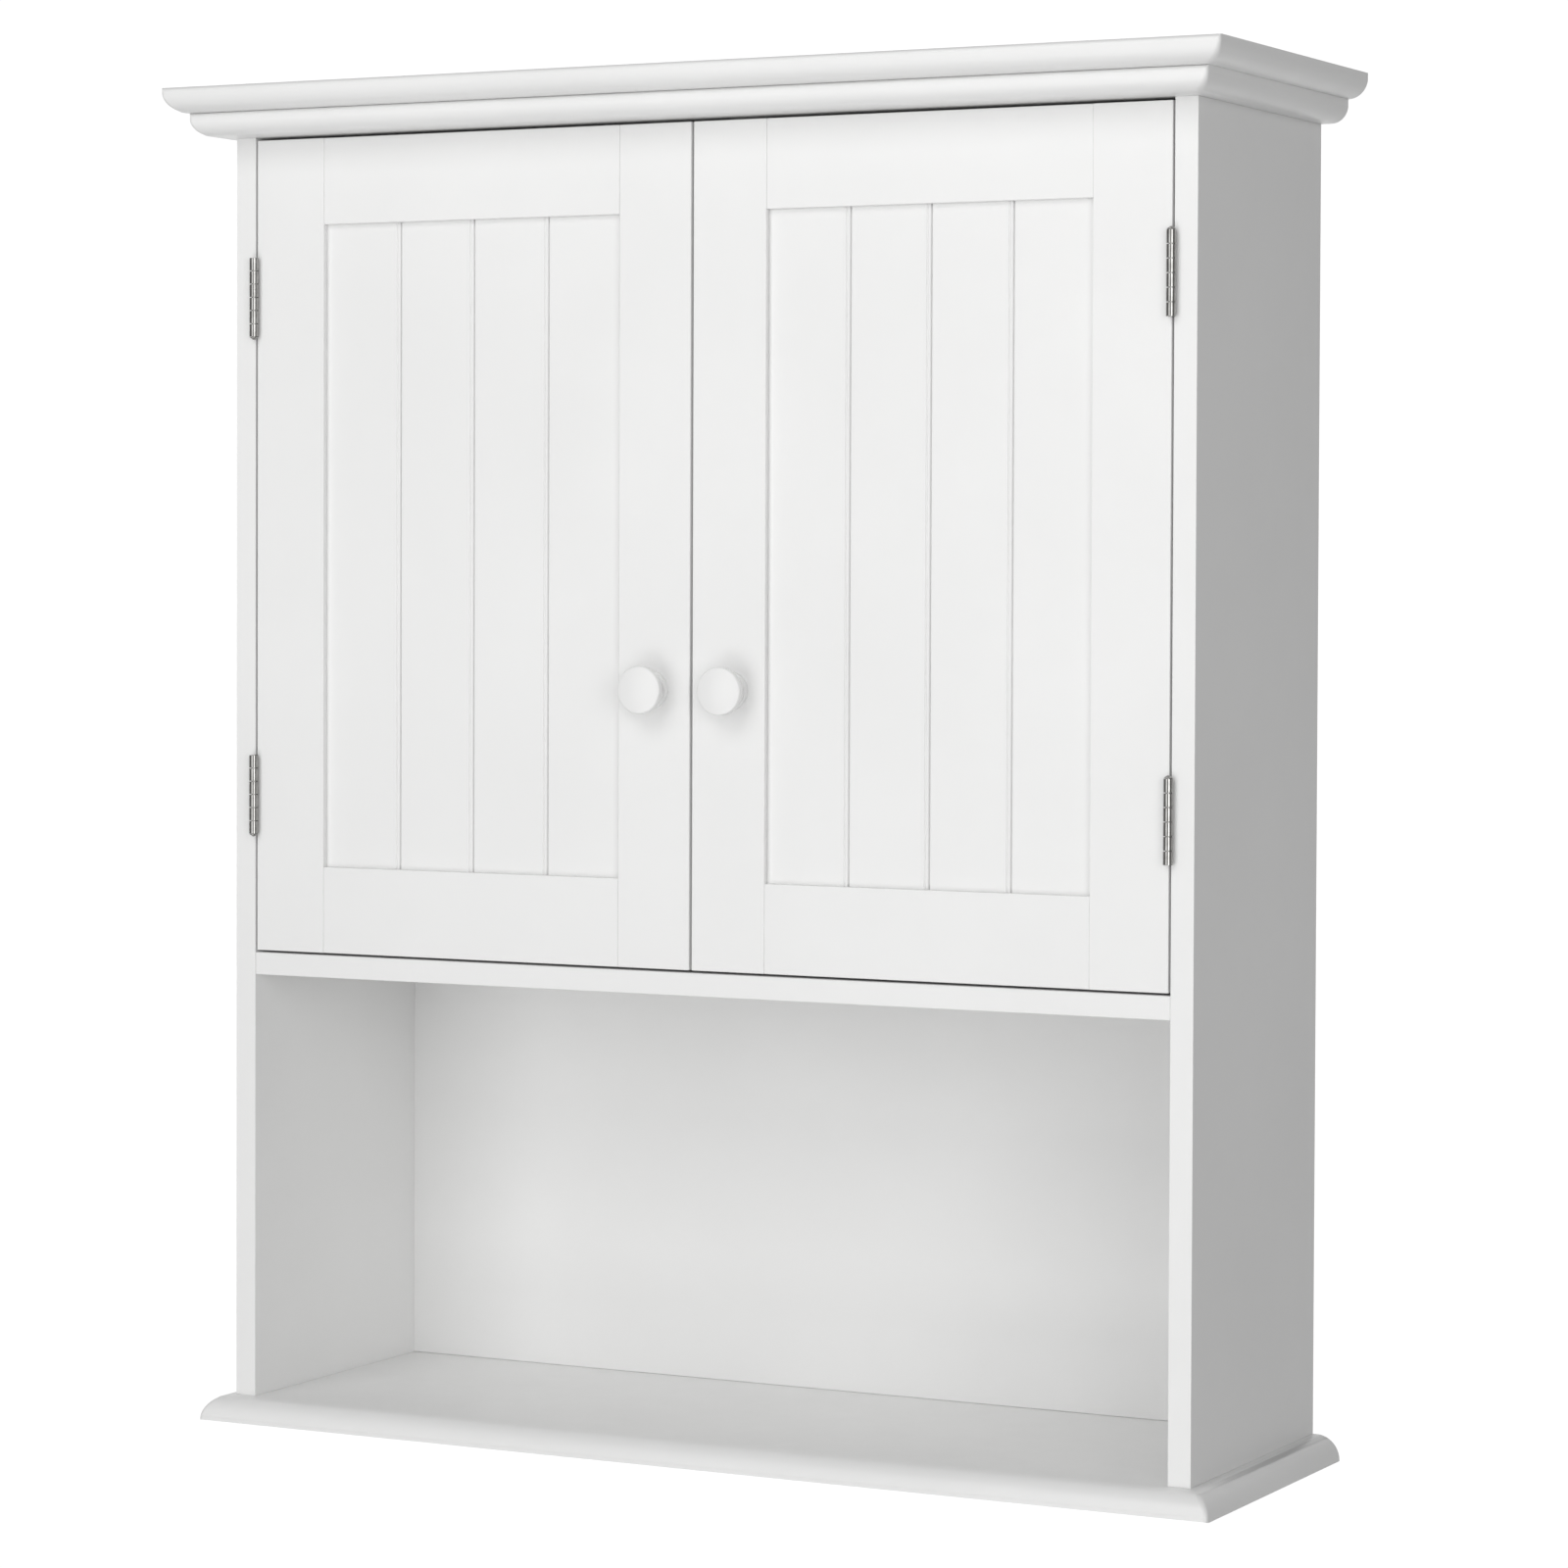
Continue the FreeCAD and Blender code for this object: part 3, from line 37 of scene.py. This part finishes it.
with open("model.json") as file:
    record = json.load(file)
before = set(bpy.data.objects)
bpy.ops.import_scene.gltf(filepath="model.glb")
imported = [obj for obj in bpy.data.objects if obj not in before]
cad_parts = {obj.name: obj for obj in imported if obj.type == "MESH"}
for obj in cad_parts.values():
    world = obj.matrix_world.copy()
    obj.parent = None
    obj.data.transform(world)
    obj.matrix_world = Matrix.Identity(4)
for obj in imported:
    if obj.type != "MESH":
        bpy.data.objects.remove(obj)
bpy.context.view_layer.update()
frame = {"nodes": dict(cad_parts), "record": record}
nodes = frame["nodes"]
bodies = frame["record"]["behaviour"]["bodies"]
body_of = {node: body for body, members in bodies.items() for node in members}
slot_of = {part["node"]: part["material_slot"] for part in frame["record"]["subparts"]}


# ---------------------------------------------------------------- materials

class Shader:
    """A small builder for one Principled material."""

    def __init__(self, name):
        self.material = bpy.data.materials.new(name)
        self.material.use_nodes = True
        self.tree = self.material.node_tree
        self.principled = self.tree.nodes["Principled BSDF"]
        self.place = self.add("ShaderNodeTexCoord").outputs["Object"]

    def add(self, kind, **sockets):
        """A node with its constant sockets set."""
        node = self.tree.nodes.new(kind)
        for socket, value in sockets.items():
            node.inputs[socket.replace("_", " ")].default_value = value
        return node

    def set(self, **sockets):
        """Constant sockets of the Principled shader."""
        for socket, value in sockets.items():
            self.principled.inputs[socket.replace("_", " ")].default_value = value

    def drive(self, socket, source):
        """A socket of the Principled shader that varies over the surface."""
        self.tree.links.new(source, self.principled.inputs[socket])

    def noise(self, scale, detail=2.0, roughness=0.5, stretch=(1, 1, 1)):
        """Noise in the object's own space, in waves per metre, stretched along its axes."""
        mapping = self.add("ShaderNodeMapping", Scale=stretch)
        node = self.add("ShaderNodeTexNoise", Scale=scale, Detail=detail, Roughness=roughness)
        self.tree.links.new(self.place, mapping.inputs["Vector"])
        self.tree.links.new(mapping.outputs["Vector"], node.inputs["Vector"])
        return node.outputs["Fac"]

    def spread(self, source, low, high):
        """Noise remapped to run from low to high."""
        start, end = NOISE_RANGE
        node = self.add("ShaderNodeMapRange", From_Min=start, From_Max=end, To_Min=low, To_Max=high)
        self.tree.links.new(source, node.inputs["Value"])
        return node.outputs["Result"]

    def tint(self, source, dark, light):
        """A colour that runs from dark to light with the noise."""
        ramp = self.add("ShaderNodeValToRGB")
        for stop, position, colour in zip(ramp.color_ramp.elements, NOISE_RANGE, (dark, light)):
            stop.position = position
            stop.color = (*colour, 1)
        self.tree.links.new(source, ramp.inputs["Fac"])
        return ramp.outputs["Color"]

    def bump(self, *layers):
        """Bump layers, each a (height source, depth in metres) pair, one on top of the other."""
        normal = None
        for height, depth in layers:
            node = self.add("ShaderNodeBump", Distance=depth)
            self.tree.links.new(height, node.inputs["Height"])
            if normal:
                self.tree.links.new(normal, node.inputs["Normal"])
            normal = node.outputs["Normal"]
        self.drive("Normal", normal)


def satin_paint(name, light, dark, roughness):
    """Sprayed satin paint: an orange-peel skin over slightly uneven board."""
    unevenness = 0.05
    shader = Shader(name)
    shader.drive("Base Color", shader.tint(shader.noise(9, detail=3), dark, light))
    clouding = shader.noise(90, detail=4)
    shader.drive("Roughness", shader.spread(clouding, roughness - unevenness, roughness + unevenness))
    shader.bump((shader.noise(38), 0.05 * MM), (shader.noise(620, roughness=0.45), 0.02 * MM))
    shader.set(Coat_Weight=0.1, Coat_Roughness=0.25)
    return shader.material


def plated_metal(name, light, dark, smooth, rough):
    """Plated metal with soft brushing and faint clouding."""
    shader = Shader(name)
    brushing = shader.noise(900, detail=5, roughness=0.7, stretch=(1, 1, 0.06))
    shader.drive("Base Color", shader.tint(shader.noise(240, detail=3), dark, light))
    shader.drive("Roughness", shader.spread(brushing, smooth, rough))
    shader.bump((brushing, 0.008 * MM))
    shader.set(Metallic=1.0)
    return shader.material


def bare_beech(name):
    """Bare beech: pale straight grain with short darker rays."""
    shader = Shader(name)
    grain = shader.noise(160, detail=5, roughness=0.6, stretch=(1, 1, 0.12))
    rays = shader.noise(1100, detail=3, stretch=(1, 1, 0.3))
    shader.drive("Base Color", shader.tint(grain, (0.42, 0.26, 0.14), (0.66, 0.46, 0.28)))
    shader.drive("Roughness", shader.spread(rays, 0.5, 0.7))
    shader.bump((rays, 0.05 * MM))
    return shader.material


def moulded_plastic(name):
    """White injection-moulded plastic with a fine spark-eroded texture."""
    shader = Shader(name)
    texture = shader.noise(1500)
    shader.drive("Base Color", shader.tint(shader.noise(60), (0.74, 0.74, 0.72), (0.8, 0.8, 0.79)))
    shader.drive("Roughness", shader.spread(texture, 0.3, 0.42))
    shader.bump((texture, 0.03 * MM))
    return shader.material


def ferrite(name):
    """Pressed magnet: dark grey, matt and finely speckled."""
    shader = Shader(name)
    speckle = shader.noise(2600, detail=4, roughness=0.8)
    shader.drive("Base Color", shader.tint(speckle, (0.02, 0.02, 0.022), (0.09, 0.09, 0.095)))
    shader.drive("Roughness", shader.spread(speckle, 0.45, 0.7))
    shader.bump((speckle, 0.04 * MM))
    shader.set(Metallic=0.3)
    return shader.material


SLOT_MATERIALS = {
    "white_paint": satin_paint("satin_white_paint", (0.86, 0.86, 0.855), (0.835, 0.835, 0.83), 0.36),
    "knob_paint": satin_paint("knob_white_paint", (0.86, 0.86, 0.855), (0.84, 0.84, 0.835), 0.34),
    "nickel": plated_metal("bright_nickel", (0.4, 0.395, 0.385), (0.3, 0.295, 0.285), 0.05, 0.14),
    "zinc_steel": plated_metal("zinc_plate", (0.66, 0.67, 0.69), (0.5, 0.51, 0.53), 0.28, 0.45),
    "beech": bare_beech("bare_beech"),
    "white_plastic": moulded_plastic("white_plastic"),
    "magnet": ferrite("ferrite"),
}


# ---------------------------------------------------------------- pieces

def add_piece(name, bm, node, smooth_angle=35):
    """A piece made from a bmesh, which stands for a CAD node and rides on its body."""
    bmesh.ops.recalc_face_normals(bm, faces=bm.faces)
    mesh = bpy.data.meshes.new(name)
    bm.to_mesh(mesh)
    bm.free()
    piece = bpy.data.objects.new(name, mesh)
    bpy.context.scene.collection.objects.link(piece)
    mesh.materials.append(SLOT_MATERIALS[slot_of[node]])
    mesh.shade_smooth()
    mesh.set_sharp_from_angle(angle=math.radians(smooth_angle))
    level = piece.modifiers.new("level_flat_faces", "WEIGHTED_NORMAL")
    level.weight = 100
    level.keep_sharp = True
    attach(piece, body_of[node])
    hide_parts(node)


def round_over(bm, edges, radius, segments, clamp=True):
    """Rounds a set of edges over. With clamp, the rounding stops short where short edges leave no room."""
    bmesh.ops.bevel(
        bm, geom=edges, offset=radius, offset_type="OFFSET", segments=segments, profile=0.5, affect="EDGES",
        clamp_overlap=clamp,
    )


def front_corner_edges(bm, node):
    """The edges where a moulded board's front meets its ends, on the mitre lines of its two front corners.

    Towards the flat of the board these edges fade out, and the faintest are left as they are."""
    low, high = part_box(node)
    reach, faint = 0.05 * MM, math.radians(35)

    def on_mitre(co):
        return abs((high.x - abs(co.x)) - (co.y - low.y)) < reach

    return [
        edge for edge in bm.edges
        if edge.is_manifold and edge.calc_face_angle_signed() > faint
        and on_mitre(edge.verts[0].co) and on_mitre(edge.verts[1].co)
    ]


def eased_copy(node, ease, shortest=0.0, corner=0.0):
    """The CAD node's mesh with its sharp edges rounded over by ease.

    Edges shorter than shortest keep their shape, so the rims of small holes stay crisp.
    corner is the larger rounding of a moulded board's front corners."""
    same_place, flat, sharp = 0.001 * MM, math.radians(0.5), math.radians(50)
    bm = bmesh.new()
    bm.from_mesh(nodes[node].data)
    bmesh.ops.remove_doubles(bm, verts=bm.verts, dist=same_place)
    bmesh.ops.dissolve_limit(bm, angle_limit=flat, verts=bm.verts, edges=bm.edges)
    if corner:
        round_over(bm, front_corner_edges(bm, node), corner, segments=5, clamp=False)
    edges = [
        edge for edge in bm.edges
        if edge.is_manifold and edge.calc_length() > shortest and edge.calc_face_angle_signed() > sharp
    ]
    round_over(bm, edges, ease, segments=2)
    add_piece(f"{node}_eased", bm, node)


def arc(centre, radius, start, end, steps=6):
    """Points of a circular arc between two angles in degrees."""
    angles = [math.radians(start + (end - start) * step / steps) for step in range(steps + 1)]
    x, y = centre
    return [(x + radius * math.cos(angle), y + radius * math.sin(angle)) for angle in angles]


def lathe(bm, profile, place, direction, steps=96):
    """A turned solid: profile holds (radius, height) pairs, and its axis starts at place."""
    turn = Vector((0, 0, 1)).rotation_difference(Vector(direction)).to_matrix().to_4x4()
    matrix = Matrix.Translation(place) @ turn
    rings = []
    for radius, height in profile:
        count = steps if radius > 0 else 1
        angles = [2 * math.pi * step / count for step in range(count)]
        points = [Vector((radius * math.cos(angle), radius * math.sin(angle), height)) for angle in angles]
        rings.append([bm.verts.new(matrix @ point) for point in points])
    for low, high in zip(rings, rings[1:]):
        for step in range(steps):
            corners = [
                low[step % len(low)], low[(step + 1) % steps % len(low)],
                high[(step + 1) % steps % len(high)], high[step % len(high)],
            ]
            bm.faces.new(list(dict.fromkeys(corners)))


def knob(side):
    """A turned knob: a foot, a waisted neck, a head with a rounded rim and a soft dome."""
    node = f"{side}_knob"
    low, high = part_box(node)
    head, depth = (high.x - low.x) / 2, high.y - low.y
    foot, neck = 0.81 * head, 0.61 * head
    foot_edge, cove, rim = 0.6 * MM, 0.9 * MM, 1.2 * MM
    foot_depth, neck_end, head_back = 3.0 * MM, 5.6 * MM, 10.9 * MM
    flare = head - neck
    shoulder_centre = (head - rim, depth - 2.6 * MM)
    flare_end, rim_start, shoulder_end = 112, -50, 68  # degrees, each on its own arc
    profile = [(0, 0), (foot, 0)]
    profile += arc((foot - foot_edge, foot_depth - foot_edge), foot_edge, 0, 90)
    profile += arc((neck + cove, foot_depth + cove), cove, 270, 180)
    profile += arc((neck + flare, neck_end), flare, 180, flare_end)
    profile += arc((head - rim, head_back), rim, rim_start, 0)
    profile += arc(shoulder_centre, rim, 0, shoulder_end)
    shoulder, face = profile[-1]
    dome_steps = 12
    for step in range(1, dome_steps):
        radius = shoulder * (1 - step / dome_steps)
        profile.append((radius, face + (depth - face) * (1 - (radius / shoulder) ** 2)))
    profile.append((0, depth))
    bm = bmesh.new()
    axis_end = Vector(((low.x + high.x) / 2, high.y, (low.z + high.z) / 2))
    lathe(bm, profile, axis_end, (0, -1, 0))
    add_piece(f"{side}_turned_knob", bm, node, smooth_angle=60)


def hinge_pins(side):
    """The two pins of one door's hinges, each a plain stem with a coned and rounded tip past the barrel."""
    node = f"{side}_hinge_pins"
    low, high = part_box(node)
    tip_root, middle_z = (high.x - low.x) / 2, (high.z + low.z) / 2
    stem, tip_end, ball, tip_length = 1.2 * MM, 0.9 * MM, 0.5 * MM, 1.4 * MM
    tip_edge = 0.2 * MM
    down = side == "left"
    heights = [vertex.co.z for vertex in nodes[node].data.vertices]
    bm = bmesh.new()
    for heights_of_pin in ([z for z in heights if z > middle_z], [z for z in heights if z < middle_z]):
        bottom, top = min(heights_of_pin), max(heights_of_pin)
        profile = [(0, 0)]
        profile += arc((tip_end - ball, ball), ball, -90, -30, steps=4)
        profile += arc((tip_root - tip_edge, tip_length - tip_edge), tip_edge, -30, 90, steps=4)
        profile += [(stem, tip_length), (stem, top - bottom), (0, top - bottom)]
        tip = Vector(((low.x + high.x) / 2, (low.y + high.y) / 2, bottom if down else top))
        lathe(bm, profile, tip, (0, 0, 1 if down else -1), steps=48)
    add_piece(f"{side}_turned_hinge_pins", bm, node)


def bead_outline():
    """One bead across its groove, as (distance from the seam, depth) pairs from left to right."""
    lip_round, bead_round, edge_round = 0.3 * MM, 0.95 * MM, 0.35 * MM
    lip = arc((-1.95 * MM, lip_round), lip_round, -90, -20, steps=4)
    quirk = [(-1.5 * MM, 0.55 * MM), (-1.35 * MM, 0.6 * MM)]
    bead = arc((-0.35 * MM, 0.98 * MM), bead_round, -160, -8, steps=12)
    groove = [(0.66 * MM, 1.6 * MM), (0.95 * MM, 1.75 * MM), (1.2 * MM, 1.6 * MM)]
    edge = arc((1.85 * MM, edge_round), edge_round, 180, 270, steps=4)
    return lip + quirk + bead + groove + edge


def bead_panel(side):
    """The beaded door panel: planks parted by a small round bead and its quirks."""
    node = f"{side}_bead_panel"
    low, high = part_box(node)
    inner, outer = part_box(f"{side}_inner_stile"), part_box(f"{side}_outer_stile")
    opening = sorted((inner[0].x, inner[1].x, outer[0].x, outer[1].x))[1:3]
    planks = 4
    plank = (opening[1] - opening[0]) / planks
    front = [(low.x, 0)]
    for seam in range(1, planks):
        middle = opening[0] + seam * plank
        front += [(middle + across, depth) for across, depth in bead_outline()]
    front.append((high.x, 0))
    bm = bmesh.new()
    rows = []
    for z in (low.z, high.z):
        face = [bm.verts.new((x, low.y + depth, z)) for x, depth in front]
        back = [bm.verts.new((x, high.y, z)) for x, _ in front]
        rows.append((face, back))
    (low_face, low_back), (high_face, high_back) = rows
    last = len(front) - 1
    for i in range(last):
        bm.faces.new((low_face[i], low_face[i + 1], high_face[i + 1], high_face[i]))
        bm.faces.new((low_back[i + 1], low_back[i], high_back[i], high_back[i + 1]))
        bm.faces.new((low_face[i + 1], low_face[i], low_back[i], low_back[i + 1]))
        bm.faces.new((high_face[i], high_face[i + 1], high_back[i + 1], high_back[i]))
    for i in (0, last):
        bm.faces.new((low_face[i], low_back[i], high_back[i], high_face[i]))
    add_piece(f"{side}_beaded_panel", bm, node, smooth_angle=50)


MOULDED_BOARDS = ("base_board", "crown_lower_board", "crown_top_board")
BOARDS = (
    "middle_shelf", "back_panel", "hanging_rail", "adjustable_shelf", "left_side_panel", "right_side_panel",
)
DOOR_BOARDS = ("outer_stile", "inner_stile", "top_rail", "bottom_rail")
BOARD_EASE, DOOR_EASE = 0.6 * MM, 0.5 * MM
HOUSING_EASE, PLATE_EASE, LEAF_EASE = 0.4 * MM, 0.2 * MM, 0.3 * MM
MOULDED_CORNER = 2.4 * MM
HOLE_EDGE = 2 * MM  # the edges round small holes are shorter than this
for board in MOULDED_BOARDS:
    eased_copy(board, BOARD_EASE, shortest=HOLE_EDGE, corner=MOULDED_CORNER)
for board in BOARDS:
    eased_copy(board, BOARD_EASE, shortest=HOLE_EDGE)
for side in SIDES:
    for board in DOOR_BOARDS:
        eased_copy(f"{side}_{board}", DOOR_EASE, shortest=HOLE_EDGE)
    eased_copy(f"{side}_catch_housing", HOUSING_EASE, shortest=HOLE_EDGE)
    eased_copy(f"{side}_strike_plate", PLATE_EASE, shortest=HOLE_EDGE)
    for end in ENDS:
        for leaf in ("frame", "door"):
            eased_copy(f"{end}_{side}_{leaf}_leaf", LEAF_EASE)
    bead_panel(side)
    knob(side)
    hinge_pins(side)

for node, model in nodes.items():
    model.data.materials.clear()
    model.data.materials.append(SLOT_MATERIALS[slot_of[node]])


# ---------------------------------------------------------------- stage, light and camera

def add_floor(height, radius, edge):
    """A plain round floor well below the cabinet, with a rounded edge."""
    bm = bmesh.new()
    profile = [(0, height)]
    profile += [(radius - edge + x, height - edge + z) for x, z in arc((0, 0), edge, 90, 0)]
    profile += [(radius, height - 2 * edge), (0, height - 2 * edge)]
    lathe(bm, profile, Vector(), (0, 0, 1), steps=160)
    mesh = bpy.data.meshes.new("floor")
    bm.to_mesh(mesh)
    bm.free()
    floor = bpy.data.objects.new("floor", mesh)
    bpy.context.scene.collection.objects.link(floor)
    shader = Shader("pale_floor")
    grain = shader.noise(60, detail=4)
    shader.drive("Base Color", shader.tint(grain, (0.76, 0.76, 0.76), (0.8, 0.8, 0.8)))
    shader.drive("Roughness", shader.spread(grain, 0.6, 0.75))
    mesh.materials.append(shader.material)


def add_studio_world(behind, bright, dim):
    """Soft light from all round, with a bright white sweep in the direction behind the cabinet."""
    world = bpy.data.worlds.new("studio")
    bpy.context.scene.world = world
    world.use_nodes = True
    tree = world.node_tree
    coordinates = tree.nodes.new("ShaderNodeTexCoord")
    nearness = tree.nodes.new("ShaderNodeVectorMath")
    nearness.operation = "DOT_PRODUCT"
    nearness.inputs[1].default_value = Vector(behind).normalized()
    fade = tree.nodes.new("ShaderNodeMapRange")
    fade.interpolation_type = "SMOOTHSTEP"
    fade_start, fade_end = 0.55, 0.95
    limits = {"From Min": fade_start, "From Max": fade_end, "To Min": dim, "To Max": bright}
    for socket, value in limits.items():
        fade.inputs[socket].default_value = value
    background = tree.nodes["Background"]
    background.inputs["Color"].default_value = (1, 1, 1, 1)
    tree.links.new(coordinates.outputs["Generated"], nearness.inputs[0])
    tree.links.new(nearness.outputs["Value"], fade.inputs["Value"])
    tree.links.new(fade.outputs["Result"], background.inputs["Strength"])


def add_softbox(name, place, target, width, height, power):
    """A rectangular area light aimed at a target. Its power is in watts."""
    light = bpy.data.lights.new(name, "AREA")
    light.shape = "RECTANGLE"
    light.size = width
    light.size_y = height
    light.energy = power
    lamp = bpy.data.objects.new(name, light)
    lamp.location = place
    lamp.rotation_mode = "QUATERNION"
    lamp.rotation_quaternion = (Vector(target) - Vector(place)).to_track_quat("-Z", "Y")
    bpy.context.scene.collection.objects.link(lamp)


def add_camera(place, yaw, pitch, roll, lens, shift_up):
    """The camera, level with the middle of the doors and to the right of them. Angles are in degrees."""
    camera = bpy.data.cameras.new("camera")
    camera.sensor_width = 36
    camera.lens = lens
    camera.shift_y = shift_up
    viewer = bpy.data.objects.new("camera", camera)
    turn = Matrix.Rotation(math.radians(yaw), 4, "Z")
    tilt = Matrix.Rotation(math.radians(90 + pitch), 4, "X")
    lean = Matrix.Rotation(math.radians(roll), 4, "Z")
    viewer.matrix_world = Matrix.Translation(place) @ turn @ tilt @ lean
    bpy.context.scene.collection.objects.link(viewer)
    bpy.context.scene.camera = viewer


add_floor(height=-1.0, radius=1.05, edge=0.01)
add_studio_world(behind=(-0.457, 0.889, 0), bright=1.05, dim=0.27)
cabinet_middle = (0, -0.1, -0.3)
add_softbox("key", (-0.7, -3.3, -0.2), cabinet_middle, width=2.2, height=2.2, power=22)
add_softbox("high", (-0.2, -2.6, 1.6), cabinet_middle, width=2.2, height=1.4, power=24)
add_softbox("low", (-0.2, -2.6, -1.9), cabinet_middle, width=2.2, height=1.4, power=22)
add_softbox("fill", (2.2, -2.4, 0.0), cabinet_middle, width=1.6, height=1.6, power=25)
viewpoint = (1.13841, -2.27729, -0.19488)
add_camera(viewpoint, yaw=27.195, pitch=-1.476, roll=0.202, lens=108.76, shift_up=-0.0625)
bpy.context.scene.view_settings.view_transform = "Standard"
